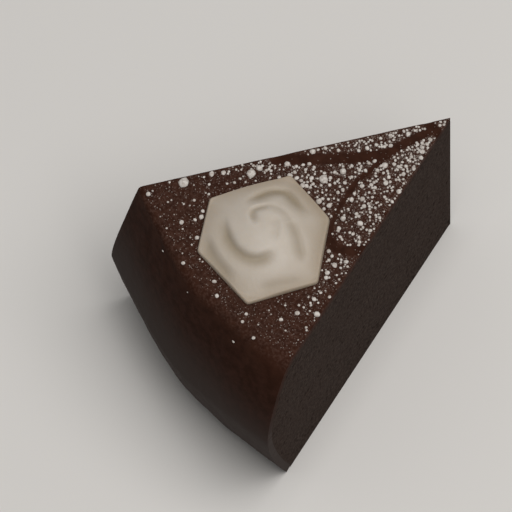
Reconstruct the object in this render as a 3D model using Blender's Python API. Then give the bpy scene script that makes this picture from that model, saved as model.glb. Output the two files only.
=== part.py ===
"""A slice of chocolate cake, an eighth of a round one.

The sponge is iced over its top and outer side, dusted with icing sugar,
and finished with one swirled spoonful of cream. Metres, +Z up: the cut tip
points to +Y, the outer side faces -Y, and the slice stands on z = 0.
"""

import math
import random

import bmesh
import bpy

# The whole cake and the cut
RADIUS = 0.100
HEIGHT = 0.0747
HALF_ANGLE = math.radians(22.8)
BASE_RADIUS = 0.1005

# The iced side swells below its middle, and more so, higher up, at the +X cut
BELLY_LEFT = 0.1086
BELLY_RIGHT = 0.1123
BELLY_HEIGHT_LEFT = 0.0311
BELLY_HEIGHT_RIGHT = 0.0410
UPPER_CURVE_LEFT = 1.3
UPPER_CURVE_RIGHT = 1.8
LOWER_CURVE = 1.4
FLATTENING = 0.65
FLATS_MEET = 0.15

# The icing
ICING = 0.0025
EDGE_ROUND_LEFT = 0.0015
EDGE_ROUND_RIGHT = 0.0048
SHARPEST_EDGE = 0.0002
ICING_LIFT = 0.0010
GAP = 0.0003

# How finely the sponge and the icing are divided
SECTIONS = 16
TOP_STEPS = 7
EDGE_STEPS = 4
UPPER_STEPS = 6
LOWER_STEPS = 5

# The cream: its middle, its six corners, its rim and its low dome
CREAM_FROM_TIP = 0.0716
CREAM_TO_RIGHT = -0.0005
CREAM_CORNERS = ((10.0, 0.0226), (72.1, 0.0214), (123.5, 0.0235),
                 (194.4, 0.0224), (244.9, 0.0218), (309.3, 0.0236))
CREAM_ROUNDING = 60
CREAM_RIM = 0.0012
CREAM_HEIGHT = 0.0074
CREAM_DOME = 0.0208
CREAM_DOME_CURVE = 1.25
CREAM_SHOULDER = 0.965
CREAM_SPOKES = 60
CREAM_RINGS = 20
CREAM_WALL_RINGS = 4

# The swirl's grooves: how deep each is, and its line as seen from above, from the cream's middle
GROOVES = (
    (0.0011, ((-0.0116, 0.0019), (-0.0120, 0.0061), (-0.0112, 0.0110), (-0.0082, 0.0143),
              (-0.0031, 0.0147), (0.0015, 0.0152))),
    (0.0007, ((-0.0043, -0.0010), (-0.0074, 0.0003), (-0.0081, 0.0029), (-0.0075, 0.0044))),
    (0.0005, ((-0.0075, 0.0044), (-0.0039, 0.0082), (0.0012, 0.0086))),
    (0.0009, ((0.0012, 0.0086), (0.0060, 0.0076), (0.0102, 0.0061), (0.0137, 0.0038), (0.0144, 0.0030))),
    (0.0011, ((-0.0119, -0.0073), (-0.0070, -0.0097), (-0.0013, -0.0108), (0.0037, -0.0095),
              (0.0066, -0.0058), (0.0069, -0.0024))),
    (0.0006, ((-0.0105, -0.0164), (-0.0056, -0.0172), (0.0049, -0.0172), (0.0070, -0.0168))),
    (0.0004, ((0.0139, -0.0122), (0.0162, -0.0068), (0.0189, -0.0010))),
)
GROOVE_WIDTH = 0.0019
GROOVE_FADE = 0.3

# The sugar's largest lumps: along the slice, across it, and half their width
LARGEST_LUMPS = (
    (0.0802, -0.0316, 0.0018), (0.0614, -0.0215, 0.0016), (0.0445, -0.0065, 0.0016),
    (0.0583, -0.0215, 0.0011), (0.0380, -0.0050, 0.0011), (0.0262, 0.0011, 0.0011),
    (0.0445, 0.0127, 0.0010), (0.0742, 0.0300, 0.0010), (0.0504, -0.0175, 0.0010),
    (0.0714, -0.0288, 0.0009), (0.0417, 0.0045, 0.0009), (0.0389, 0.0063, 0.0009),
    (0.0297, 0.0062, 0.0009), (0.0530, -0.0133, 0.0009), (0.0478, 0.0082, 0.0009),
    (0.0282, 0.0108, 0.0009), (0.0157, 0.0052, 0.0009), (0.0486, 0.0020, 0.0009),
    (0.0890, -0.0209, 0.0008), (0.0682, -0.0269, 0.0008), (0.0789, 0.0260, 0.0008),
    (0.0718, 0.0252, 0.0008), (0.0954, 0.0062, 0.0008), (0.0400, 0.0086, 0.0008),
    (0.0502, -0.0078, 0.0008), (0.0910, -0.0350, 0.0008), (0.0509, 0.0101, 0.0008),
    (0.0560, 0.0208, 0.0008), (0.0510, -0.0118, 0.0008), (0.0363, 0.0026, 0.0008),
    (0.0271, -0.0070, 0.0008), (0.0473, -0.0090, 0.0008), (0.0843, 0.0248, 0.0008),
    (0.0419, 0.0001, 0.0008), (0.0630, 0.0203, 0.0008), (0.0596, 0.0196, 0.0009),
    (0.0829, -0.0187, 0.0008), (0.0883, -0.0137, 0.0008), (0.0931, 0.0017, 0.0008),
    (0.0851, -0.0191, 0.0007), (0.0970, -0.0093, 0.0007), (0.0952, 0.0250, 0.0007),
    (0.0030, 0.0002, 0.0006), (0.0044, 0.0006, 0.0005), (0.0043, -0.0007, 0.0005),
)

# The rest of its lumps, scattered, biggest first
LUMPS = 130
LUMP_LARGEST = 0.0008
LUMP_SMALLEST = 0.0005
LUMP_TRIES = 40
LUMP_SPACE = 0.0003
LUMP_FLATTENING = 0.65
LUMP_SEGMENTS = 6
LUMP_RINGS = 4
LUMP_SEED = 11
SUGAR_AT_TIP = 1.0
SUGAR_AT_SIDE = 0.1

# Bare tracks through the sugar: half the track's width, and its line along the slice and across it
TRACKS = (
    (0.0015, ((0.0068, -0.0034), (0.0063, 0.0036))),
    (0.0015, ((0.0075, -0.0002), (0.0171, -0.0013), (0.0240, -0.0020))),
    (0.0018, ((0.0238, -0.0019), (0.0324, -0.0069), (0.0419, -0.0133), (0.0518, -0.0206))),
    (0.0009, ((0.0238, -0.0019), (0.0322, -0.0002), (0.0410, 0.0020), (0.0517, 0.0077), (0.0556, 0.0132))),
    (0.0017, ((0.0555, 0.0115), (0.0557, 0.0148), (0.0505, 0.0200), (0.0470, 0.0216))),
)

# The colours of the crumb, the chocolate icing and the cream
SPONGE_COLOR = (0.060, 0.030, 0.018)
ICING_COLOR = (0.045, 0.020, 0.012)
CREAM_COLOR = (0.80, 0.72, 0.60)
CRUMB_ROUGHNESS = 0.85
SATIN_ROUGHNESS = 0.5

MERGE = 0.00001
SHARP_EDGE = math.radians(35)


def mix(first, last, share):
    return first + (last - first) * share


def ease(share):
    share = min(max(share, 0), 1)
    return share * share * (3 - 2 * share)


def flats(turn):
    """The plan of the iced side: an arc with two soft flats, as a share of the round one."""
    soft_turn = math.hypot(turn, FLATS_MEET)
    from_middle = (soft_turn - 0.5) * HALF_ANGLE
    chord = math.cos(HALF_ANGLE / 2) / math.cos(from_middle)
    return 1 - FLATTENING * (1 - chord)


def belly(turn):
    """Radius and height of the side's fullest line. turn runs from -1 at one cut to 1 at the other."""
    full = ease(turn)
    return mix(BELLY_LEFT, BELLY_RIGHT, full), mix(BELLY_HEIGHT_LEFT, BELLY_HEIGHT_RIGHT, full)


def side_radius(turn, height):
    widest, widest_height = belly(turn)
    if height < widest_height:
        share = (widest_height - height) / widest_height
        radius = mix(widest, BASE_RADIUS, share**LOWER_CURVE)
    else:
        share = (height - widest_height) / (HEIGHT - widest_height)
        curve = mix(UPPER_CURVE_LEFT, UPPER_CURVE_RIGHT, ease(turn))
        radius = mix(widest, RADIUS, share**curve)
    return radius * flats(turn)


def edge_round(turn):
    """How far the top's edge is rounded, more so towards the +X cut."""
    return mix(EDGE_ROUND_LEFT, EDGE_ROUND_RIGHT, ease((turn + 1) / 2))


def outer_line(turn, inset, bottom):
    """Radius and height from the tip along the top, round its edge and down the side."""
    top = HEIGHT - inset
    edge = max(edge_round(turn) - inset, SHARPEST_EDGE)
    corner = side_radius(turn, HEIGHT) - inset
    edge_start = corner - edge
    edge_end = side_radius(turn, top - edge) - inset
    line = [(edge_start * step / TOP_STEPS, top) for step in range(TOP_STEPS)]
    for step in range(EDGE_STEPS + 1):
        share = step / EDGE_STEPS
        before = mix(edge_start, corner, share), top
        after = mix(corner, edge_end, share), mix(top, top - edge, share)
        line.append((mix(before[0], after[0], share), mix(before[1], after[1], share)))
    widest_height = belly(turn)[1]
    heights = [mix(top - edge, widest_height, step / UPPER_STEPS) for step in range(1, UPPER_STEPS + 1)]
    heights += [mix(widest_height, bottom, step / LOWER_STEPS) for step in range(1, LOWER_STEPS + 1)]
    line += [(side_radius(turn, height) - inset, height) for height in heights]
    return line


def sponge_section(turn):
    return [(0, 0), *outer_line(turn, ICING + GAP, 0)]


def icing_section(turn):
    return [*outer_line(turn, 0, ICING_LIFT), *reversed(outer_line(turn, ICING, ICING_LIFT))]


# The tip's place puts the origin at the middle of the slice's box
TIP_X = (belly(-1)[0] - belly(1)[0]) * math.sin(HALF_ANGLE) * flats(1) / 2
TIP_Y = belly(0)[0] * flats(0) / 2


def place(turn, radius, height):
    angle = turn * HALF_ANGLE
    return TIP_X + radius * math.sin(angle), TIP_Y - radius * math.cos(angle), height


def clear_scene():
    for item in list(bpy.data.objects):
        bpy.data.objects.remove(item)


def new_collection(name):
    collection = bpy.data.collections.new(name)
    bpy.context.scene.collection.children.link(collection)
    return collection


def finish(name, color, roughness):
    material = bpy.data.materials.new(name)
    material.use_nodes = True
    shader = material.node_tree.nodes["Principled BSDF"]
    shader.inputs["Base Color"].default_value = (*color, 1)
    shader.inputs["Roughness"].default_value = roughness
    return material


def add_object(bm, name, material, collection):
    mesh = bpy.data.meshes.new(name)
    bm.to_mesh(mesh)
    bm.free()
    mesh.materials.append(material)
    mesh.shade_smooth()
    mesh.set_sharp_from_angle(angle=SHARP_EDGE)
    item = bpy.data.objects.new(name, mesh)
    collection.objects.link(item)
    return item


def loft(section, name, material, collection):
    """One closed body through the sections that fan out from the tip between the two cuts."""
    bm = bmesh.new()
    rows = []
    for index in range(SECTIONS + 1):
        turn = mix(-1, 1, index / SECTIONS)
        rows.append([bm.verts.new(place(turn, radius, height)) for radius, height in section(turn)])
    for row, after in zip(rows, rows[1:]):
        for index, corner in enumerate(row):
            bm.faces.new((corner, row[index - 1], after[index - 1], after[index]))
    bm.faces.new(rows[0])
    bm.faces.new(reversed(rows[-1]))
    bmesh.ops.remove_doubles(bm, verts=bm.verts, dist=MERGE)
    bmesh.ops.recalc_face_normals(bm, faces=bm.faces)
    return add_object(bm, name, material, collection)


def cream_middle():
    return TIP_X + CREAM_TO_RIGHT, TIP_Y - CREAM_FROM_TIP


def cream_outline(angle):
    """Distance from the cream's middle to its edge: six straight sides with soft corners."""
    total = 0
    for (start, first), (end, last) in zip(CREAM_CORNERS, CREAM_CORNERS[1:] + CREAM_CORNERS[:1]):
        ax, ay = first * math.cos(math.radians(start)), first * math.sin(math.radians(start))
        bx, by = last * math.cos(math.radians(end)), last * math.sin(math.radians(end))
        facing = math.cos(angle) * (by - ay) + math.sin(angle) * (ax - bx)
        if facing > 0:
            total += (facing / (ax * by - ay * bx)) ** CREAM_ROUNDING
    return total ** (-1 / CREAM_ROUNDING)


def beside(point, line):
    """Distance from a point to a line through several others, and how far along the line that is."""
    found = []
    for index, (start, end) in enumerate(zip(line, line[1:])):
        run = end[0] - start[0], end[1] - start[1]
        from_start = point[0] - start[0], point[1] - start[1]
        share = (from_start[0] * run[0] + from_start[1] * run[1]) / (run[0] ** 2 + run[1] ** 2)
        share = min(max(share, 0), 1)
        distance = math.hypot(from_start[0] - share * run[0], from_start[1] - share * run[1])
        found.append((distance, (index + share) / (len(line) - 1)))
    return min(found)


def swirl(x, y):
    """How far the grooves sink the cream at a place measured from its middle."""
    sunk = 0
    for depth, line in GROOVES:
        distance, share = beside((x, y), line)
        fade = ease(share / GROOVE_FADE) * ease((1 - share) / GROOVE_FADE)
        sunk = max(sunk, depth * fade * math.exp(-((distance / GROOVE_WIDTH) ** 2)))
    return sunk


def cream_top(x, y):
    from_edge = max(1 - (math.hypot(x, y) / CREAM_DOME) ** 2, 0)
    return mix(CREAM_RIM, CREAM_HEIGHT, from_edge**CREAM_DOME_CURVE) - swirl(x, y)


def cream_point(angle, ring):
    """A point of the cream's surface, ring by ring from its crown down to its foot."""
    crown_rings = CREAM_RINGS - CREAM_WALL_RINGS
    edge = cream_outline(angle)
    share = CREAM_SHOULDER * min(ring / crown_rings, 1)
    top = cream_top(share * edge * math.cos(angle), share * edge * math.sin(angle))
    wall = math.pi / 2 * max(ring - crown_rings, 0) / CREAM_WALL_RINGS
    share = mix(share, 1, math.sin(wall))
    return share * edge * math.cos(angle), share * edge * math.sin(angle), top * math.cos(wall)


def make_cream(collection):
    """The upper half of a sphere, its rings spread over the cream's outline and swirl."""
    bm = bmesh.new()
    bmesh.ops.create_uvsphere(bm, u_segments=CREAM_SPOKES, v_segments=2 * CREAM_RINGS, radius=1)
    bmesh.ops.delete(bm, geom=[vert for vert in bm.verts if vert.co.z < -MERGE], context="VERTS")
    bmesh.ops.contextual_create(bm, geom=[edge for edge in bm.edges if edge.is_boundary])
    across, along = cream_middle()
    for vert in bm.verts:
        angle = math.atan2(vert.co.y, vert.co.x)
        from_top = math.acos(min(max(vert.co.z, -1), 1))
        x, y, z = cream_point(angle, round(from_top / (math.pi / 2) * CREAM_RINGS))
        vert.co = across + x, along + y, HEIGHT + GAP + z
    bmesh.ops.recalc_face_normals(bm, faces=bm.faces)
    return add_object(bm, "cream", finish("cream", CREAM_COLOR, SATIN_ROUGHNESS), collection)


def sugar_likely(along, across):
    """Share of places that take sugar: thick towards the tip, thin towards the outer side."""
    if any(beside((along, across), line)[0] < half_width for half_width, line in TRACKS):
        return 0
    return mix(SUGAR_AT_TIP, SUGAR_AT_SIDE, ease(along / RADIUS))


def fits(along, across, size, lumps):
    """Whether a lump lies on the top, apart from its edges, from the cream and from other lumps."""
    radius = math.hypot(along, across)
    turn = math.atan2(across, along) / HALF_ANGLE
    to_cut = radius * math.sin(HALF_ANGLE * (1 - abs(turn)))
    from_cream = along - CREAM_FROM_TIP, across - CREAM_TO_RIGHT
    cream_edge = cream_outline(math.atan2(-from_cream[0], from_cream[1]))
    return (
        to_cut > size + LUMP_SPACE
        and radius < side_radius(turn, HEIGHT) - edge_round(turn) - size
        and math.hypot(*from_cream) > cream_edge + size + LUMP_SPACE
        and all(math.hypot(along - a, across - b) > size + s + LUMP_SPACE for a, b, s in lumps)
    )


def lump_places():
    """The largest lumps where they fit, and the scattered ones where the sugar's rule puts them."""
    rng = random.Random(LUMP_SEED)
    lumps = []
    for lump in LARGEST_LUMPS:
        if fits(*lump, lumps):
            lumps.append(lump)
    for index in range(LUMPS):
        size = mix(LUMP_LARGEST, LUMP_SMALLEST, index / LUMPS)
        for _ in range(LUMP_TRIES):
            angle = rng.uniform(-HALF_ANGLE, HALF_ANGLE)
            radius = RADIUS * math.sqrt(rng.random())
            along, across = radius * math.cos(angle), radius * math.sin(angle)
            if rng.random() < sugar_likely(along, across) and fits(along, across, size, lumps):
                lumps.append((along, across, size))
                break
    return lumps


def add_lumps(icing):
    """Fuses the sugar's lumps to the icing, each a low rounded bump half sunk in it."""
    lumps = new_collection("sugar_lumps")
    rng = random.Random(LUMP_SEED)
    for along, across, size in lump_places():
        bm = bmesh.new()
        bmesh.ops.create_uvsphere(bm, u_segments=LUMP_SEGMENTS, v_segments=LUMP_RINGS, radius=size)
        item = add_object(bm, "sugar_lump", icing.data.materials[0], lumps)
        item.location = TIP_X + across, TIP_Y - along, HEIGHT
        item.rotation_euler.z = rng.uniform(0, math.tau)
        item.scale = 1, rng.uniform(LUMP_FLATTENING, 1), LUMP_FLATTENING
    union = icing.modifiers.new("sugar", "BOOLEAN")
    union.operation = "UNION"
    union.operand_type = "COLLECTION"
    union.collection = lumps
    with bpy.context.temp_override(object=icing, active_object=icing):
        bpy.ops.object.modifier_apply(modifier=union.name)
    for item in list(lumps.objects):
        bpy.data.objects.remove(item)
    bpy.data.collections.remove(lumps)


def main():
    clear_scene()
    slice_parts = new_collection("chocolate_cake_slice")
    loft(sponge_section, "cake", finish("sponge", SPONGE_COLOR, CRUMB_ROUGHNESS), slice_parts)
    icing = loft(icing_section, "icing", finish("icing", ICING_COLOR, SATIN_ROUGHNESS), slice_parts)
    add_lumps(icing)
    make_cream(slice_parts)


main()
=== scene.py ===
"""The looks of a slice of chocolate cake: its sponge, icing, cream and icing sugar."""

import math

import bmesh
import bpy
import numpy as np
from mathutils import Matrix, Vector, noise


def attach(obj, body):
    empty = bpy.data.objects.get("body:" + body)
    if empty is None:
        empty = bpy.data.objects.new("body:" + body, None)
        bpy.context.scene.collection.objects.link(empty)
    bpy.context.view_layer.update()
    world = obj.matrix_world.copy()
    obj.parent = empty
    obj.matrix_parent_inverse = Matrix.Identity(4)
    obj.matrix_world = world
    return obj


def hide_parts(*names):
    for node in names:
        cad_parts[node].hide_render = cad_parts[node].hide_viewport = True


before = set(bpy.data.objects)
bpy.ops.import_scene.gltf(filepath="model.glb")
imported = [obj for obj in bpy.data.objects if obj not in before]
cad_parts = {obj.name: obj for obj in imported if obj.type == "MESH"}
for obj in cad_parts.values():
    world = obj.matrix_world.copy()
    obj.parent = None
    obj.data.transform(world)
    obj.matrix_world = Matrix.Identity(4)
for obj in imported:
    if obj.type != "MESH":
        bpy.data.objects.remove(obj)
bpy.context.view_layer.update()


# The studio: a pale matt floor that runs out of the picture, one large soft light high on the right,
# and pale surroundings. The camera looks down on the slice from beyond its right-hand cut, and sees
# it without perspective.
AZIMUTH = math.radians(53.31)
ELEVATION = math.radians(63.74)
VIEW_WIDTH = 0.15974
TIP_RIGHT_OF_MIDDLE = 0.060614
TIP_ABOVE_MIDDLE = 0.010084
CAMERA_AWAY = 1.0
FLOOR_SIZE = 8.0
MM = 0.001


def colour(red, green, blue):
    """A colour given as it shows on a screen, 0 to 255, as the shader takes it."""
    shares = (red / 255, green / 255, blue / 255)
    return (*(s / 12.92 if s <= 0.04045 else ((s + 0.055) / 1.055) ** 2.4 for s in shares), 1)


class Signal:
    """One output of a finish's nodes. A sum written with it adds Math nodes."""

    def __init__(self, finish, socket):
        self.finish = finish
        self.socket = socket

    def math(self, operation, *values):
        return self.finish.node("ShaderNodeMath", {"operation": operation}, dict(enumerate(values)))

    def __add__(self, other):
        return self.math("ADD", self, other)

    def __mul__(self, other):
        return self.math("MULTIPLY", self, other)

    __radd__ = __add__
    __rmul__ = __mul__

    def between(self, low, high):
        """0 at low and 1 at high, eased in between."""
        settings = {"interpolation_type": "SMOOTHSTEP"}
        return self.finish.node("ShaderNodeMapRange", settings, {0: self, 1: low, 2: high})


class Finish:
    """A material. node adds any node, and surface feeds the Principled shader's sockets."""

    def __init__(self, name):
        self.material = bpy.data.materials.new(name)
        self.material.use_nodes = True
        self.tree = self.material.node_tree
        self.place = self.node("ShaderNodeTexCoord", output="Object")

    def join(self, value, socket):
        if isinstance(value, Signal):
            self.tree.links.new(value.socket, socket)
        else:
            socket.default_value = value

    def node(self, kind, settings=None, values=None, output=0):
        made = self.tree.nodes.new(kind)
        for name, value in (settings or {}).items():
            setattr(made, name, value)
        for name, value in (values or {}).items():
            self.join(value, made.inputs[name])
        return Signal(self, made.outputs[output])

    def noise(self, size, detail=3, roughness=0.5):
        """Soft noise, 0 to 1, with features of about that size."""
        values = {"Vector": self.place, "Scale": 1 / size, "Detail": detail, "Roughness": roughness}
        return self.node("ShaderNodeTexNoise", {}, values)

    def attribute(self, name):
        return self.node("ShaderNodeAttribute", {"attribute_name": name}, output="Fac")

    def blend(self, share, first, last):
        return self.node("ShaderNodeMix", {"data_type": "RGBA"}, {0: share, 6: first, 7: last}, output=2)

    def bump(self, height, depth):
        return self.node("ShaderNodeBump", {}, {"Height": height, "Distance": depth, "Strength": 1.0})

    def surface(self, **values):
        shader = self.tree.nodes["Principled BSDF"]
        for name, value in values.items():
            self.join(value, shader.inputs[name.replace("_", " ")])
        return self.material


def deselect_all():
    bpy.ops.object.select_all(action="DESELECT")


tip = max((vert.co.copy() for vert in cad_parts["cake"].data.vertices), key=lambda place: place.y)
tip.z = 0

back = Vector((math.sin(AZIMUTH) * math.cos(ELEVATION), -math.cos(AZIMUTH) * math.cos(ELEVATION),
               math.sin(ELEVATION)))
right = Vector((math.cos(AZIMUTH), math.sin(AZIMUTH), 0))
above = back.cross(right)
aim = tip - right * TIP_RIGHT_OF_MIDDLE - above * TIP_ABOVE_MIDDLE

bpy.ops.object.camera_add(location=aim + back * CAMERA_AWAY)
camera = bpy.context.object
camera.name = "camera"
camera.rotation_euler = (-back).to_track_quat("-Z", "Y").to_euler()
camera.data.type = "ORTHO"
camera.data.ortho_scale = VIEW_WIDTH
camera.data.clip_end = 10
bpy.context.scene.camera = camera

deselect_all()
bpy.ops.mesh.primitive_plane_add(size=FLOOR_SIZE)
floor = bpy.context.object
floor.name = "floor"
floor_finish = Finish("floor")
floor_tone = floor_finish.blend(floor_finish.noise(0.35), colour(226, 225, 223), colour(230, 229, 227))
floor.data.materials.append(floor_finish.surface(Base_Color=floor_tone, Roughness=0.85))

world = bpy.data.worlds.new("surroundings")
world.use_nodes = True
world.node_tree.nodes["Background"].inputs["Color"].default_value = (1.0, 0.985, 0.96, 1)
world.node_tree.nodes["Background"].inputs["Strength"].default_value = 0.25
bpy.context.scene.world = world
bpy.context.scene.view_settings.view_transform = "Standard"


def add_light(name, place, size, power, tint):
    """A square soft light that faces the slice."""
    bpy.ops.object.light_add(type="AREA", location=place)
    light = bpy.context.object
    light.name = name
    light.rotation_euler = (-Vector(place)).to_track_quat("-Z", "Y").to_euler()
    light.data.size = size
    light.data.energy = power
    light.data.color = tint


add_light("key_light", (0.28, 0.10, 1.14), 0.9, 9.2, (1.0, 0.97, 0.94))
add_light("fill_light", (-0.90, -0.30, 0.75), 1.3, 0.2, (0.98, 0.98, 1.0))


# The sponge: an eighth of a round chocolate cake, baked in a tin, levelled and cut to its middle by
# two straight strokes of a knife. The cuts lay bare a dense, slightly open crumb. Its outer side
# swells, more so and higher up towards the right-hand cut.
RADIUS = 0.100
HEIGHT = 0.0747
HALF_ANGLE = math.radians(22.8)
BASE_RADIUS = 0.1005
BELLY_LEFT = 0.1086
BELLY_RIGHT = 0.1123
BELLY_HEIGHT_LEFT = 0.0311
BELLY_HEIGHT_RIGHT = 0.0410
UPPER_CURVE_LEFT = 1.3
UPPER_CURVE_RIGHT = 1.8
LOWER_CURVE = 1.4
FLATTENING = 0.65
FLATS_MEET = 0.15
SPONGE_INSET = 0.0024
SPONGE_CUTS = ((3, 3), (9, 23), (7, 19))
PORE_CELL = 1.9 * MM
PORE_REACH = 0.36
PORE_SMALLEST = 0.35
PORE_RANGE = 0.9
PORE_LEAST = 0.05
PORE_SEED = 7.3
PORE_DEPTH = 0.38 * MM
CRUMB_SIZE = 1.1 * MM
CRUMB_DEPTH = 0.13 * MM
KNIFE_WAVE_SIZE = 14 * MM
KNIFE_WAVE_DEPTH = 0.20 * MM
CRUMB_FADE = 1.2 * MM
CRUMB_SUNK = 0.06 * MM
AT_CUT = 0.9999
SMOOTH_UNDER = math.radians(50)


def mix(first, last, share):
    return first + (last - first) * share


def ease(share):
    share = np.clip(share, 0, 1)
    return share * share * (3 - 2 * share)


def flats(turn):
    """The plan of the side: an arc with two soft flats. turn runs from -1 at the left cut to 1."""
    from_middle = (np.hypot(turn, FLATS_MEET) - 0.5) * HALF_ANGLE
    return 1 - FLATTENING * (1 - math.cos(HALF_ANGLE / 2) / np.cos(from_middle))


def side_radius(turn, height):
    full = ease(turn)
    widest = mix(BELLY_LEFT, BELLY_RIGHT, full)
    widest_height = mix(BELLY_HEIGHT_LEFT, BELLY_HEIGHT_RIGHT, full)
    below = np.clip((widest_height - height) / widest_height, 0, 1) ** LOWER_CURVE
    curve = mix(UPPER_CURVE_LEFT, UPPER_CURVE_RIGHT, full)
    higher = np.clip((height - widest_height) / (HEIGHT - widest_height), 0, 1) ** curve
    return (widest + (BASE_RADIUS - widest) * below + (RADIUS - widest) * higher) * flats(turn)


def set_out(turn, radius, height):
    """Places by their turn between the cuts, their distance from the tip's edge and their height."""
    angle = turn * HALF_ANGLE
    return np.stack([tip.x + radius * np.sin(angle), tip.y - radius * np.cos(angle), height], axis=-1)


def places_of(piece):
    places = np.empty(len(piece.data.vertices) * 3)
    piece.data.vertices.foreach_get("co", places)
    return places.reshape(-1, 3)


def move_to(piece, places):
    piece.data.vertices.foreach_set("co", places.ravel())
    piece.data.update()


def directions_of(piece):
    normals = np.empty(len(piece.data.vertices) * 3)
    piece.data.vertices.foreach_get("normal", normals)
    return normals.reshape(-1, 3)


def merge_doubles():
    bpy.ops.object.mode_set(mode="EDIT")
    bpy.ops.mesh.select_all(action="SELECT")
    bpy.ops.mesh.remove_doubles(threshold=0.00001)
    bpy.ops.object.mode_set(mode="OBJECT")


def note(piece, name, values):
    """Keeps one number for each point of the mesh, for the finish to read."""
    kept = piece.data.attributes.new(name, "FLOAT", "POINT")
    kept.data.foreach_set("value", np.asarray(values, np.float32))


def cut_across(piece, axis, cuts):
    """Cuts every edge that runs along one axis, which slices the whole piece across it."""
    shape = bmesh.from_edit_mesh(piece.data)
    for edge in shape.edges:
        run = edge.verts[1].co - edge.verts[0].co
        edge.select_set(abs(run[axis]) > 0.5 * run.length)
    bmesh.update_edit_mesh(piece.data)
    bpy.ops.mesh.subdivide(number_cuts=cuts)
    bpy.ops.mesh.select_all(action="DESELECT")


def crumb(place):
    """How far the torn crumb stands out of the cut, and how deep in a pore the place is, 0 to 1."""
    distances, centres = noise.voronoi(place / PORE_CELL)
    reach = PORE_REACH * (PORE_SMALLEST + PORE_RANGE * noise.cell(centres[0] * PORE_SEED))
    pore = max(0, 1 - (distances[0] / max(reach, PORE_LEAST)) ** 2)
    grain = noise.fractal(place / CRUMB_SIZE, 1.0, 2.0, 4)
    wave = noise.noise(place / KNIFE_WAVE_SIZE)
    return grain * CRUMB_DEPTH + wave * KNIFE_WAVE_DEPTH - pore * PORE_DEPTH, pore


deselect_all()
bpy.ops.mesh.primitive_cube_add(size=1)
sponge = bpy.context.object
sponge.name = "sponge"
bpy.ops.object.mode_set(mode="EDIT")
bpy.ops.mesh.select_mode(type="EDGE")
bpy.ops.mesh.select_all(action="DESELECT")
for axis, rounds in enumerate(SPONGE_CUTS):
    for cuts in rounds:
        cut_across(sponge, axis, cuts)
bpy.ops.object.mode_set(mode="OBJECT")

block = places_of(sponge)
sponge_turn = block[:, 0] * 2
sponge_height = (block[:, 2] + 0.5) * (HEIGHT - SPONGE_INSET)
sponge_radius = (block[:, 1] + 0.5) * (side_radius(sponge_turn, sponge_height) - SPONGE_INSET)
sponge_places = set_out(sponge_turn, sponge_radius, sponge_height)
sponge_pores = np.zeros(len(block))
from_edges = np.minimum(sponge_height, HEIGHT - SPONGE_INSET - sponge_height)
from_edges = np.minimum(from_edges, (0.5 - np.abs(block[:, 1])) * RADIUS)
inside = ease(from_edges / CRUMB_FADE)
for index in np.flatnonzero(np.abs(sponge_turn) > AT_CUT):
    stands_out, sponge_pores[index] = crumb(Vector(sponge_places[index]))
    stands_out = mix(-CRUMB_SUNK, stands_out, inside[index])
    side = math.copysign(1, sponge_turn[index])
    sponge_places[index] += stands_out * np.array([side * math.cos(HALF_ANGLE), math.sin(HALF_ANGLE), 0])
sponge_places[:, 2] = np.maximum(sponge_places[:, 2], 0)
move_to(sponge, sponge_places)
note(sponge, "pore", sponge_pores)
merge_doubles()
bpy.ops.object.shade_smooth_by_angle(angle=SMOOTH_UNDER)

sponge_finish = Finish("sponge")
sponge_grain = sponge_finish.noise(0.9 * MM, detail=5, roughness=0.6)
sponge_patches = sponge_finish.noise(12 * MM).between(0.35, 0.7) * 0.35
sponge_tone = sponge_finish.blend(sponge_grain.between(0.3, 0.75), colour(48, 39, 35), colour(75, 64, 59))
sponge_tone = sponge_finish.blend(sponge_patches, sponge_tone, colour(60, 49, 44))
# Painted shade: the pores are painted darker, for the shade inside their hollows.
sponge_tone = sponge_finish.blend(sponge_finish.attribute("pore") * 0.75, sponge_tone, colour(27, 20, 17))
sponge.data.materials.append(sponge_finish.surface(
    Base_Color=sponge_tone,
    Roughness=0.85,
    IOR=1.1,
    Normal=sponge_finish.bump(sponge_finish.noise(0.35 * MM, detail=4, roughness=0.65), 0.12 * MM),
))
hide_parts("cake")
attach(sponge, "root")


# The icing: dark chocolate icing spread over the top and round the outer side with a palette knife.
# A fork has dragged bare, shallow tracks through the top: one across the tip, and one down the
# middle that parts in two and curls back to the right-hand cut.
ICING = 0.0026
ICING_FOOT = 0.0004
EDGE_ROUND_LEFT = 0.0015
EDGE_ROUND_RIGHT = 0.0048
ICING_ACROSS = 132
ICING_ALONG = 270
LINE_POINTS = 400
# For each track: half its width, then points down its middle as the distance from the tip and the
# distance to the right, all in millimetres.
TRACKS = (
    (1.5, ((6.8, -3.4), (6.5, -1.5), (6.3, 0.8), (6.3, 3.6))),
    (1.5, ((7.5, -0.2), (12.3, -0.7), (17.1, -1.3), (21.9, -1.8), (24.0, -2.0))),
    (1.9, ((23.8, -1.9), (27.9, -4.2), (32.4, -6.9), (36.8, -9.7), (41.9, -13.3), (46.9, -17.0),
           (51.8, -20.6))),
    (0.8, ((23.8, -1.9), (27.8, -0.8), (32.2, -0.2), (36.5, 0.3), (41.0, 2.0), (44.7, 3.6))),
    (0.55, ((44.7, 3.6), (48.3, 5.3), (51.7, 7.7), (54.6, 10.7), (55.6, 13.2))),
    (1.7, ((55.5, 11.5), (55.7, 14.8), (53.4, 17.8), (50.5, 20.0), (47.0, 21.6))),
)
TRACK_DEPTH = 0.20 * MM
LIP_HEIGHT = 0.05 * MM
LIP_AWAY = 1.45
LIP_WIDTH = 0.35
TRACK_BARE = 0.7
TRACK_EDGE = 0.5
STROKE_LENGTH = 5 * MM
STROKES = 1.6
STROKE_DEPTH = 0.12 * MM
SIDE_STROKE_LENGTH = 30 * MM
SIDE_STROKES = 9
SIDE_STROKE_SEED = 3.7
SIDE_STROKE_DEPTH = 0.32 * MM
RIPPLE_SIZE = 2.2 * MM
RIPPLE_DEPTH = 0.05 * MM
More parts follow.
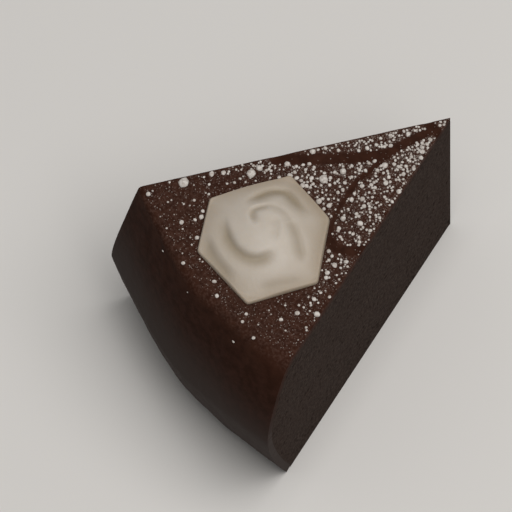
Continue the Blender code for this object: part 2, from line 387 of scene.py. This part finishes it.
FACES_UP_FROM = 0.35
FACES_UP_RANGE = 0.5
TOP_TONE_REACH = 15 * MM
# Painted sheen: the outer side turns grey-brown from the higher of these heights down to the lower one,
# as light glancing off its lower part would make it.
SHEEN_PAINT_FULL = 32 * MM
SHEEN_PAINT_END = 62 * MM
HAZE_REACH = 4 * MM
DUSTING_REACH = 2.5 * MM
DUSTING_FADE = 2 * MM


def rounding_at(turn):
    """How far the top's edge is rounded, more so towards the right-hand cut."""
    return mix(EDGE_ROUND_LEFT, EDGE_ROUND_RIGHT, ease((turn + 1) / 2))


def edge_line(turn):
    """Radius and height along the icing's outside, from the tip over the top's edge to the foot."""
    edge_round = rounding_at(turn)
    corner = side_radius(turn, HEIGHT)
    edge_end = side_radius(turn, HEIGHT - edge_round)
    share = np.linspace(0, 1, LINE_POINTS // 4)
    rounding = np.stack([
        mix(mix(corner - edge_round, corner, share), mix(corner, edge_end, share), share),
        mix(np.full_like(share, HEIGHT), mix(HEIGHT, HEIGHT - edge_round, share), share)], axis=-1)
    heights = np.linspace(HEIGHT - edge_round, ICING_FOOT, LINE_POINTS)[1:]
    side = np.stack([side_radius(turn, heights), heights], axis=-1)
    return np.concatenate([[(0, HEIGHT)], rounding, side])


def smooth_line(points, steps=8):
    """Dense points on a curve through the points, which are given in millimetres."""
    line = []
    ends = np.array([points[0], *points, points[-1]]) * MM
    for before, start, end, after in zip(ends, ends[1:], ends[2:], ends[3:]):
        for share in np.arange(steps) / steps:
            line.append(0.5 * (2 * start + (end - before) * share
                               + (2 * before - 5 * start + 4 * end - after) * share**2
                               + (3 * start - before - 3 * end + after) * share**3))
    return np.array([*line, ends[-1]])


def beside(line, x, y):
    """How far places lie to the right of a line, negative to its left, and how far along it, 0 to 1."""
    nearest = np.full(np.shape(x), np.inf)
    beyond, along_line = np.zeros(np.shape(x)), np.zeros(np.shape(x))
    for number, (start, run) in enumerate(zip(line, np.diff(line, axis=0))):
        share = np.clip(((x - start[0]) * run[0] + (y - start[1]) * run[1]) / (run @ run), 0, 1)
        away_x, away_y = x - start[0] - share * run[0], y - start[1] - share * run[1]
        distance = np.hypot(away_x, away_y)
        closer = distance < nearest
        nearest = np.where(closer, distance, nearest)
        beyond = np.where(closer, np.sign(run[1] * away_x - run[0] * away_y), beyond)
        along_line = np.where(closer, (number + share) / (len(line) - 1), along_line)
    return nearest * beyond, along_line


def from_tracks(along, across):
    """Distance from each track's middle, in half widths of the track."""
    return [np.abs(beside(smooth_line(points), along, across)[0]) / (half * MM)
            for half, points in TRACKS]


def track_relief(along, across):
    """The tracks' hollows, and the low lip that the fork pushed up on each side."""
    relief = np.zeros(np.shape(along))
    for away in from_tracks(along, across):
        relief = np.minimum(relief, -TRACK_DEPTH * np.exp(-away**4))
        relief = relief + LIP_HEIGHT * np.exp(-((away - LIP_AWAY) / LIP_WIDTH) ** 2)
    return relief


deselect_all()
bpy.ops.mesh.primitive_grid_add(x_subdivisions=ICING_ACROSS, y_subdivisions=ICING_ALONG, size=1)
icing = bpy.context.object
icing.name = "icing_skin"
sheet = places_of(icing)
columns, column = np.unique(sheet[:, 0].round(6), return_inverse=True)
icing_places = np.zeros_like(sheet)
for number, across in enumerate(columns):
    line = edge_line(across * 2)
    lengths = np.concatenate([[0], np.cumsum(np.hypot(*np.diff(line, axis=0).T))])
    own = column == number
    reached = (0.5 - sheet[own, 1]) * lengths[-1]
    radius, height = np.interp(reached, lengths, line[:, 0]), np.interp(reached, lengths, line[:, 1])
    icing_places[own] = set_out(np.full(own.sum(), across * 2), radius, height)
move_to(icing, icing_places)
merge_doubles()

icing_places = places_of(icing)
outwards = directions_of(icing)
if outwards[:, 2].sum() < 0:
    icing.data.flip_normals()
    outwards = directions_of(icing)
along = tip.y - icing_places[:, 1]
across = icing_places[:, 0] - tip.x
on_top = ease((outwards[:, 2] - FACES_UP_FROM) / FACES_UP_RANGE)
relief = track_relief(along, across) * on_top
for index, place in enumerate(icing_places):
    from_tip, round_tip = math.hypot(along[index], across[index]), math.atan2(across[index], along[index])
    stroke = noise.noise(Vector((from_tip / STROKE_LENGTH, round_tip * STROKES, 0)))
    side_place = Vector((round_tip * SIDE_STROKES, place[2] / SIDE_STROKE_LENGTH, SIDE_STROKE_SEED))
    side_stroke = noise.fractal(side_place, 1.0, 2.0, 3)
    relief[index] += mix(side_stroke * SIDE_STROKE_DEPTH, stroke * STROKE_DEPTH, on_top[index])
    relief[index] += noise.noise(Vector(place) / RIPPLE_SIZE) * RIPPLE_DEPTH
move_to(icing, icing_places + outwards * relief[:, None])

thickness = icing.modifiers.new("thickness", "SOLIDIFY")
thickness.thickness = ICING
thickness.offset = -1
bpy.ops.object.modifier_apply(modifier="thickness")
icing_places = places_of(icing)
away_x, away_y = icing_places[:, 0] - tip.x, tip.y - icing_places[:, 1]
turned = np.clip(np.arctan2(away_x, away_y), -HALF_ANGLE, HALF_ANGLE)
from_tip = np.hypot(away_x, away_y)
icing_places[:, 0] = tip.x + from_tip * np.sin(turned)
icing_places[:, 1] = tip.y - from_tip * np.cos(turned)
move_to(icing, icing_places)
bpy.ops.object.shade_smooth_by_angle(angle=SMOOTH_UNDER)

# The distance from the tip in millimetres, and the share hidden on the left and on the right half.
COVER = (
    (0, 0.22, 0.46), (10, 0.42, 0.52), (20, 0.42, 0.42), (30, 0.30, 0.25), (40, 0.22, 0.22),
    (50, 0.26, 0.17), (60, 0.20, 0.15), (70, 0.08, 0.12), (80, 0.04, 0.04), (90, 0.02, 0.01),
    (100, 0.00, 0.00),
)
COVER_MEETS = 8 * MM


def sugar_cover(along, across):
    """Share of the top that sugar hides, by the distance from the tip, on its left and right halves."""
    stations, left_half, right_half = np.array(COVER).T
    left_cover = np.interp(along / MM, stations, left_half)
    right_cover = np.interp(along / MM, stations, right_half)
    cover = mix(left_cover, right_cover, ease(across / COVER_MEETS + 0.5))
    for away in from_tracks(along, across):
        cover = cover * ease((away - TRACK_BARE) / TRACK_EDGE)
    return cover


icing_places = places_of(icing)
along, across = tip.y - icing_places[:, 1], icing_places[:, 0] - tip.x
above_top = icing_places[:, 2] - HEIGHT
note(icing, "dusting", sugar_cover(along, across) * ease((above_top + DUSTING_REACH) / DUSTING_FADE))
free = np.min([ease((away - TRACK_BARE) / TRACK_EDGE) for away in from_tracks(along, across)], axis=0)
note(icing, "haze", free * ease((above_top + HAZE_REACH) / HAZE_REACH))
# The share of painted sheen, growing towards the foot of the outer side.
note(icing, "painted_sheen_below", ease((SHEEN_PAINT_END - icing_places[:, 2]) / (SHEEN_PAINT_END - SHEEN_PAINT_FULL)))
note(icing, "top", ease((above_top + TOP_TONE_REACH) / TOP_TONE_REACH))

icing_finish = Finish("icing")
icing_streaks = icing_finish.noise(3 * MM, detail=4, roughness=0.6)
icing_patches = icing_finish.noise(16 * MM, detail=2)
icing_tone = icing_finish.blend(icing_streaks.between(0.3, 0.7), colour(49, 30, 23), colour(62, 39, 30))
icing_tone = icing_finish.blend(icing_patches.between(0.4, 0.7) * 0.5, icing_tone, colour(57, 33, 24))
side_tone = icing_finish.blend(icing_streaks.between(0.3, 0.7), colour(46, 29, 22), colour(58, 37, 30))
# Painted sheen: the outer side is painted grey-brown towards its foot.
side_tone = icing_finish.blend(icing_finish.attribute("painted_sheen_below"), side_tone, colour(66, 58, 55))
icing_tone = icing_finish.blend(icing_finish.attribute("top"), side_tone, icing_tone)
haze = icing_finish.noise(0.9 * MM, detail=4, roughness=0.65).between(0.42, 0.68)
haze = haze * icing_finish.attribute("haze") * 0.4
icing_tone = icing_finish.blend(haze, icing_tone, colour(98, 76, 68))
powder = icing_finish.noise(0.32 * MM, detail=2, roughness=0.7)
dusting = icing_finish.attribute("dusting")
powdered = (powder + dusting * 0.2).between(0.66, 0.74) * dusting.between(0.04, 0.3)
icing_tone = icing_finish.blend(powdered * 0.6, icing_tone, colour(180, 168, 158))
icing.data.materials.append(icing_finish.surface(
    Base_Color=icing_tone,
    Roughness=0.5 + powdered * 0.4,
    IOR=1.05,
    Normal=icing_finish.bump(icing_finish.noise(0.8 * MM, detail=4), 0.05 * MM),
))
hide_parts("icing")
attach(icing, "root")


# The cream: a spoonful of softly whipped cream, dropped on the icing and swirled with the back of
# the spoon. It has a soft six-cornered outline, a low rim and a low round dome.
CREAM_FROM_TIP = 0.0716
CREAM_TO_RIGHT = -0.0005
# The angle of each corner in degrees, and its distance from the cream's middle in millimetres.
CREAM_CORNERS = (
    (10.0, 22.6), (72.1, 21.4), (123.5, 23.5), (194.4, 22.4), (244.9, 21.8), (309.3, 23.6),
)
CREAM_ROUNDING = 60
CREAM_RIM = 0.0012
CREAM_HEIGHT = 0.0074
CREAM_DOME = 0.0208
CREAM_DOME_CURVE = 1.25
CREAM_SHOULDER = 0.965
CREAM_LIFT = 0.0002
# Painted shade on the cream: how much it darkens all round towards its rim, and how much more on the side
# that points this way.
MOST_SHADED_WAY = math.radians(53)
RIM_SHADE_ALL_ROUND = 1.3
RIM_SHADE_ONE_WAY = 0.3
CREAM_SPOKES = 256
CREAM_RINGS = 96
CREAM_WALL_RINGS = 12
CREAM_SMOOTH_UNDER = math.radians(60)
# For each groove: its depth, the widths of its two slopes and points along it, to the right and
# towards the tip from the cream's middle, all in millimetres.
GROOVES = (
    (1.20, 1.2, 2.4, ((-10.9, 0.2), (-11.6, 1.9), (-12.1, 3.9), (-12.0, 6.1), (-11.8, 8.6), (-11.2, 11.0),
                      (-10.0, 13.0), (-8.2, 14.3), (-5.7, 14.7), (-3.1, 14.7), (-0.7, 14.9), (1.5, 15.2),
                      (3.4, 15.8))),
    (0.80, 0.9, 1.6, ((-3.0, -1.6), (-4.3, -1.0), (-6.0, -0.5), (-7.4, 0.3), (-8.2, 1.6), (-8.1, 2.9),
                      (-7.5, 4.4), (-6.2, 6.6), (-3.9, 8.2))),
    (0.40, 1.0, 2.0, ((-8.1, 2.9), (-7.5, 4.4), (-6.2, 6.6), (-3.9, 8.2), (-1.3, 8.8), (1.2, 8.6),
                      (3.4, 8.3), (6.0, 7.6))),
    (0.80, 1.5, 2.2, ((-1.3, 8.8), (1.2, 8.6), (3.4, 8.3), (6.0, 7.6), (8.2, 6.9), (10.2, 6.1),
                      (12.0, 5.1), (13.7, 3.8), (15.0, 2.2))),
    (1.15, 1.2, 2.6, ((-13.8, -6.2), (-11.9, -7.3), (-9.7, -8.6), (-7.0, -9.7), (-4.2, -10.5),
                      (-1.3, -10.8), (1.5, -10.4), (3.7, -9.5), (5.5, -7.9), (6.6, -5.8), (7.1, -3.9),
                      (6.9, -2.4), (6.2, -0.4))),
    (0.30, 1.2, 2.0, ((-3.0, 5.6), (-1.0, 5.0), (0.7, 4.2), (2.3, 2.9), (3.6, 1.3), (4.4, -0.8))),
    (0.80, 1.6, 2.4, ((-12.5, -14.9), (-10.5, -15.5), (-8.1, -16.3), (-5.6, -17.0), (-2.9, -17.4),
                      (-0.3, -17.5), (2.4, -17.5), (4.9, -17.2), (7.0, -16.6))),
    (0.40, 1.6, 2.4, ((13.0, -13.2), (13.9, -11.8), (15.2, -9.4), (16.4, -6.6), (17.6, -3.9),
                      (18.9, -1.0), (19.8, 1.5))),
)
GROOVE_FADE = 0.30


def cream_outline(angle):
    """Distance from the cream's middle to its edge: six straight sides with soft corners."""
    total = np.zeros(np.shape(angle))
    for (start, first), (end, last) in zip(CREAM_CORNERS, CREAM_CORNERS[1:] + CREAM_CORNERS[:1]):
        ax, ay = first * math.cos(math.radians(start)), first * math.sin(math.radians(start))
        bx, by = last * math.cos(math.radians(end)), last * math.sin(math.radians(end))
        facing = np.cos(angle) * (by - ay) + np.sin(angle) * (ax - bx)
        total += np.clip(facing / (ax * by - ay * bx), 0, None) ** CREAM_ROUNDING
    return total ** (-1 / CREAM_ROUNDING) * MM


def swirl(x, y):
    """How far the grooves sink the cream. Each is steep on the left of its line, gentle on its right."""
    sunk = np.zeros(np.shape(x))
    for depth, steep, gentle, points in GROOVES:
        away, share = beside(smooth_line(points), x, y)
        fade = ease(share / GROOVE_FADE) * ease((1 - share) / GROOVE_FADE)
        width = np.where(away < 0, steep, gentle) * MM
        sunk = np.maximum(sunk, depth * MM * fade * np.exp(-((away / width) ** 2)))
    return sunk


def cream_top(x, y):
    """Height of the cream over the icing: a low dome that runs out in the rim, less the swirl."""
    from_edge = np.clip(1 - (np.hypot(x, y) / CREAM_DOME) ** 2, 0, None)
    return mix(CREAM_RIM, CREAM_HEIGHT, from_edge**CREAM_DOME_CURVE) - swirl(x, y)


deselect_all()
bpy.ops.mesh.primitive_uv_sphere_add(segments=CREAM_SPOKES, ring_count=2 * CREAM_RINGS, radius=1)
cream = bpy.context.object
cream.name = "cream_swirl"
bpy.ops.object.mode_set(mode="EDIT")
bpy.ops.mesh.bisect(
    plane_co=(0, 0, 0), plane_no=(0, 0, 1), clear_inner=True, use_fill=True, threshold=0.0001)
bpy.ops.object.mode_set(mode="OBJECT")

dome = places_of(cream)
angle = np.arctan2(dome[:, 1], dome[:, 0])
ring = np.arccos(np.clip(dome[:, 2], -1, 1)) / (math.pi / 2) * CREAM_RINGS
crown_rings = CREAM_RINGS - CREAM_WALL_RINGS
wall = np.clip((ring - crown_rings) / CREAM_WALL_RINGS, 0, 1) * math.pi / 2
edge = cream_outline(angle)
in_crown = CREAM_SHOULDER * np.minimum(ring / crown_rings, 1)
top_x, top_y = in_crown * edge * np.cos(angle), in_crown * edge * np.sin(angle)
share = mix(in_crown, 1, np.sin(wall))
cream_places = np.stack([
    tip.x + CREAM_TO_RIGHT + share * edge * np.cos(angle),
    tip.y - CREAM_FROM_TIP + share * edge * np.sin(angle),
    HEIGHT + CREAM_LIFT + cream_top(top_x, top_y) * np.cos(wall)], axis=-1)
move_to(cream, cream_places)
# Painted shade in the grooves: a share that follows how deep the swirl sinks the cream.
note(cream, "painted_groove_shade", swirl(top_x, top_y) * np.cos(wall) / MM)
# Painted shade for the cream: a share that grows towards the rim, more on one side.
note(cream, "sugar_thinness_and_cream_shade", in_crown**3 * (RIM_SHADE_ALL_ROUND + RIM_SHADE_ONE_WAY * np.cos(angle - MOST_SHADED_WAY)))
bpy.ops.object.shade_smooth_by_angle(angle=CREAM_SMOOTH_UNDER)

cream_finish = Finish("cream")
cream_patches = cream_finish.noise(9 * MM, detail=3).between(0.3, 0.7)
cream_tone = cream_finish.blend(cream_patches, colour(195, 186, 174), colour(202, 194, 184))
# Painted shade: the cream is painted darker towards its rim, more so on one side.
cream_tone = cream_finish.blend(cream_finish.attribute("sugar_thinness_and_cream_shade") * 0.8, cream_tone, colour(169, 155, 137))
# Painted shade: the cream is painted darker in its grooves.
cream_tone = cream_finish.blend(cream_finish.attribute("painted_groove_shade") * 0.8, cream_tone, colour(156, 143, 123))
cream.data.materials.append(cream_finish.surface(
    Base_Color=cream_tone,
    Roughness=0.5,
    Subsurface_Weight=0.2,
    Subsurface_Radius=(0.004, 0.003, 0.002),
    Normal=cream_finish.bump(cream_finish.noise(1.4 * MM, detail=4), 0.08 * MM),
))
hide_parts("cream")
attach(cream, "root")


# The icing sugar: sifted from a spoon over the tip, so that it lies thick there and thins out past
# the cream, and a little has fallen on the outer side. It has clung together in small low lumps,
# with finer grains in between.
# The distance from the tip, the distance to the right and the width of each, in millimetres.
LARGEST_LUMPS = (
    (80.2, -31.6, 3.5), (61.4, -21.5, 3.1), (44.5, -6.5, 3.1), (58.3, -21.5, 2.2), (38.0, -5.0, 2.3),
    (26.2, 1.1, 2.2), (44.5, 12.7, 2.1), (74.2, 30.0, 2.0), (41.4, -16.2, 1.9), (50.4, -17.5, 1.9),
    (71.4, -28.8, 1.9), (41.7, 4.5, 1.8), (38.9, 6.3, 1.8), (29.7, 6.2, 1.8), (52.2, -13.7, 1.8),
    (47.8, 8.2, 1.8), (28.2, 11.0, 1.8), (14.1, 4.3, 1.7), (15.7, 5.7, 1.7), (48.6, 2.0, 1.7),
    (89.0, -20.9, 1.6), (68.2, -26.9, 1.7), (78.9, 26.0, 1.6), (71.8, 25.2, 1.6), (95.4, 6.2, 1.5),
    (40.0, 8.6, 1.6), (50.2, -7.8, 1.6), (51.1, -8.7, 1.7), (91.4, -35.0, 1.6), (50.9, 10.1, 1.5),
    (51.6, 10.6, 1.2), (56.0, 20.8, 1.6), (44.9, -13.4, 1.4), (51.0, -11.8, 1.6), (36.3, 2.6, 1.5),
    (27.1, -7.0, 1.6), (47.3, -9.0, 1.5), (84.3, 24.8, 1.5), (37.6, -14.8, 1.4), (41.9, 0.1, 1.5),
    (50.2, -1.2, 2.1), (50.6, 1.9, 1.3), (63.0, 20.3, 1.6), (64.3, 21.5, 1.5), (59.6, 19.6, 1.8),
    (58.1, 14.6, 1.4), (81.3, -20.1, 1.4), (82.9, -18.7, 1.7), (88.3, -13.7, 1.6), (93.1, 1.7, 1.5),
    (85.1, -19.1, 1.3), (97.0, -9.3, 1.3), (94.7, 24.4, 1.3), (2.2, 0.1, 0.9), (3.0, 0.8, 1.0),
    (3.3, -0.6, 1.0), (4.1, 0.2, 1.1), (91.8, 16.7, 1.2), (94.3, 18.1, 1.2),
)
# The turn between the cuts, then the height and the width in millimetres.
SIDE_LUMPS = ((-0.46, 70.2, 0.75), (-0.055, 69.9, 0.70), (0.495, 69.0, 1.1))
LUMP_COUNT = 680
LUMP_TRIES = 60000
LUMP_MIDDLE_SIZE = 0.85 * MM
LUMP_SPREAD = 0.33
LUMP_LARGEST = 1.5 * MM
LUMP_SPACING = 0.70
LUMP_FOOT = -0.4
LUMP_SHAPES = 8
KNOB_SIZE = 1.4
KNOB_SEED = 5.1
CLEAR_OF_CREAM = 0.3
CLEAR_OF_CUT = 0.45
CLEAR_OF_EDGE = 0.6
NARROWEST = 0.82
GRAIN_COUNT = 2900
GRAIN_SMALLEST = 0.22 * MM
GRAIN_LARGEST = 0.48 * MM
THIN_UNDER = 0.30 * MM
SOLID_FROM = 0.80 * MM
FINEST = 0.70
STRAY_GRAINS = 0.12
GRAINS_WITH_LUMPS = 0.35
GRAINS_AT_TIP = 0.28
GRAINS_AT_SIDE = 0.14
GRAINS_BARE = 0.8
GRAINS_EDGE = 0.4
rng = np.random.default_rng(5)


def finer(along):
    """The sugar gets finer from the tip towards the outer side."""
    return mix(1, FINEST, ease(along / RADIUS))


def sown(tries, thickness):
    """Places on the top, clear of its edges, the tracks and the cream, the more the thicker the sugar."""
    angle = rng.uniform(-HALF_ANGLE, HALF_ANGLE, tries)
    turn = angle / HALF_ANGLE
    distance = (RADIUS - EDGE_ROUND_LEFT) * np.sqrt(rng.random(tries))
    along, across = distance * np.cos(angle), distance * np.sin(angle)
    size = np.minimum(LUMP_MIDDLE_SIZE * np.exp(rng.normal(0, LUMP_SPREAD, tries)), LUMP_LARGEST)
    size = size * finer(along)
    from_cream_x, from_cream_y = across - CREAM_TO_RIGHT, CREAM_FROM_TIP - along
    cream_edge = cream_outline(np.arctan2(from_cream_y, from_cream_x))
    kept = rng.random(tries) < thickness(along, across)
    kept &= np.hypot(from_cream_x, from_cream_y) > cream_edge + size * CLEAR_OF_CREAM
    kept &= distance * np.sin(HALF_ANGLE - np.abs(angle)) > size * CLEAR_OF_CUT
    kept &= distance < side_radius(turn, HEIGHT) - rounding_at(turn) * CLEAR_OF_EDGE
    return np.stack([along, across, size], axis=-1)[kept]


def lump_thickness(along, across):
    """How likely a lump is: its share grows past the cover, because lumps hide each other."""
    return -np.log(1 - sugar_cover(along, across))


def grain_thickness(along, across):
    """How likely a grain is. A few lie in the tracks too."""
    clearances = [ease((away - GRAINS_BARE) / GRAINS_EDGE) for away in from_tracks(along, across)]
    free = np.min(clearances, axis=0)
    sifted = mix(GRAINS_AT_TIP, GRAINS_AT_SIDE, ease(along / RADIUS))
    sifted = sifted + GRAINS_WITH_LUMPS * sugar_cover(along, across)
    return sifted * np.maximum(free, STRAY_GRAINS)


def scattered(name, shapes, places, flatness):
    """One mesh of a copied shape at each place, turned and stretched at random."""
    points, faces, sizes, reached = [], [], [], 0
    for along, across, size, height in places:
        shape, corners = shapes[rng.integers(len(shapes))]
        turned = rng.uniform(0, math.tau)
        stretch = size * np.array([1, rng.uniform(NARROWEST, 1), rng.uniform(*flatness)])
        x, y, z = (shape * stretch / 2).T
        points.append(np.stack([
            tip.x + across + x * math.cos(turned) - y * math.sin(turned),
            tip.y - along + x * math.sin(turned) + y * math.cos(turned),
            height + z], axis=-1))
        faces += [[corner + reached for corner in face] for face in corners]
        sizes += [size] * len(shape)
        reached += len(shape)
    mesh = bpy.data.meshes.new(name)
    mesh.from_pydata(np.concatenate(points).tolist(), [], faces)
    piece = bpy.data.objects.new(name, mesh)
    bpy.context.scene.collection.objects.link(piece)
    mesh.shade_smooth()
    note(piece, "sugar_thinness_and_cream_shade", 1 - ease((np.array(sizes) - THIN_UNDER) / (SOLID_FROM - THIN_UNDER)))
    return piece


def knobbly_shapes(count, subdivisions, depth):
    """Rounded shapes about 2 across with a flat foot, each pushed in and out at random."""
    shapes = []
    for number in range(count):
        deselect_all()
        bpy.ops.mesh.primitive_ico_sphere_add(subdivisions=subdivisions, radius=1)
        shape = bpy.context.object
        places = places_of(shape)
        for index, place in enumerate(places):
            spot = Vector(place) * KNOB_SIZE + Vector((number * KNOB_SEED, 0, 0))
            places[index] *= 1 + depth * noise.noise(spot)
        move_to(shape, places)
        bpy.ops.object.mode_set(mode="EDIT")
        bpy.ops.mesh.select_all(action="SELECT")
        bpy.ops.mesh.bisect(
            plane_co=(0, 0, LUMP_FOOT), plane_no=(0, 0, 1), clear_inner=True, use_fill=True)
        bpy.ops.object.mode_set(mode="OBJECT")
        shapes.append((places_of(shape), [list(face.vertices) for face in shape.data.polygons]))
        bpy.data.objects.remove(shape)
    return shapes


def laid_on_top(places):
    """Adds each place's height on the icing, also where the top's edge falls away."""
    heights = []
    for along, across in places[:, :2]:
        top = edge_line(math.atan2(across, along) / HALF_ANGLE)[:LINE_POINTS // 4 + 1]
        heights.append(np.interp(math.hypot(along, across), top[:, 0], top[:, 1]))
    return np.column_stack([places, heights + track_relief(places[:, 0], places[:, 1])])


def laid_on_side(turn, height, size):
    """The same four numbers for a lump that lies on the outer side."""
    x, y, height = set_out(turn, side_radius(turn, height * MM), height * MM)
    return tip.y - y, x - tip.x, size * MM, height


lump_places = [np.array(lump) * MM for lump in LARGEST_LUMPS]
for place in sown(LUMP_TRIES, lump_thickness):
    near = np.array(lump_places)
    apart = np.hypot(near[:, 0] - place[0], near[:, 1] - place[1])
    clear = (apart > LUMP_SPACING * (near[:, 2] + place[2]) / 2).all()
    if clear and len(lump_places) < LUMP_COUNT:
        lump_places.append(place)
grain_places = sown(LUMP_TRIES, grain_thickness)[:GRAIN_COUNT]
grain_places[:, 2] = rng.uniform(GRAIN_SMALLEST, GRAIN_LARGEST, len(grain_places))
lump_places = [*laid_on_top(np.array(lump_places)), *(laid_on_side(*lump) for lump in SIDE_LUMPS)]
lump_shapes = knobbly_shapes(LUMP_SHAPES, 2, 0.25)
sugar_lumps = scattered("sugar_lumps", lump_shapes, lump_places, (0.45, 0.7))
grain_shapes = knobbly_shapes(LUMP_SHAPES, 1, 0.35)
sugar_grains = scattered("sugar_grains", grain_shapes, laid_on_top(grain_places), (0.7, 1.0))

sugar_finish = Finish("sugar")
sugar_patches = sugar_finish.noise(0.9 * MM).between(0.3, 0.7)
sugar_tone = sugar_finish.blend(sugar_patches, colour(222, 218, 213), colour(182, 174, 167))
thin_patches = sugar_finish.noise(0.7 * MM).between(0.3, 0.7)
thin_tone = sugar_finish.blend(thin_patches, colour(126, 107, 98), colour(88, 68, 60))
sugar_tone = sugar_finish.blend(sugar_finish.attribute("sugar_thinness_and_cream_shade"), sugar_tone, thin_tone)
sugar_finish.surface(
    Base_Color=sugar_tone,
    Roughness=0.9,
    Normal=sugar_finish.bump(sugar_finish.noise(0.25 * MM, detail=3), 0.08 * MM),
)
for piece in (sugar_lumps, sugar_grains):
    piece.data.materials.append(sugar_finish.material)
    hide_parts("icing")
    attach(piece, "root")
